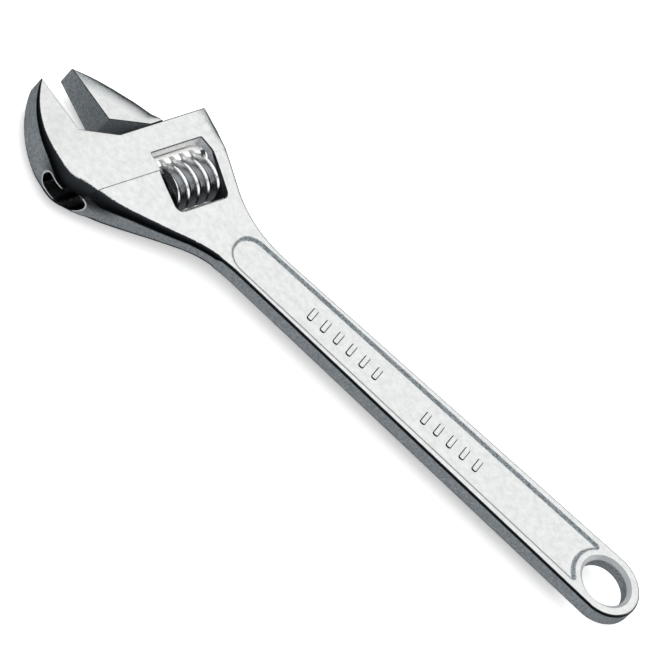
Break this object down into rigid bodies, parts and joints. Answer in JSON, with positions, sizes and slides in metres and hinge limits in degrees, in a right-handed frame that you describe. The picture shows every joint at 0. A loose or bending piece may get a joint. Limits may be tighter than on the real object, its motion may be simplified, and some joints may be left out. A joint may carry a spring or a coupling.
{
  "type": "adjustable wrench",
  "caption": "Adjustable wrench with an angled head, a sliding jaw driven by a thumb worm and rack, and a flat recessed handle with a hanging hole.",
  "frame": {"origin": "centre of the hanging hole at mid-thickness", "axes": "+X along the handle towards the jaws, +Z normal to the flats of the tool, +Y towards the fixed jaw's side"},
  "size_m": [0.3007, 0.0782, 0.0196],
  "materials": {
    "forging": "satin chrome plate over forged steel, ground bright on the head's flats",
    "jaw": "satin chrome plate over forged steel, with a ground grip",
    "worm": "bright plated turned steel",
    "pin": "turned steel",
    "spring": "drawn spring wire"
  },
  "bodies": {
    "head": {"body": "forging", "worm_pin": "pin", "worm_spring": "spring"},
    "jaw": {"movable_jaw": "jaw"},
    "thumb_worm": {"worm": "worm"}
  },
  "joints": [
    {"name": "worm_turn", "type": "hinge", "parent": "head", "child": "thumb_worm", "pos_m": [0.22029, -0.00573, 0], "axis": [-0.3746, -0.9272, 0], "range_deg": [-1419.28, 1066.2]},
    {"name": "jaw_slide", "type": "slide", "parent": "head", "child": "jaw", "axis": [-0.3746, -0.9272, 0], "range_m": [-0.0154, 0.0205]}
  ],
  "couplings": [
    {"joint": "worm_turn", "follows": "jaw_slide", "rad_per_m": -1208.3}
  ]
}
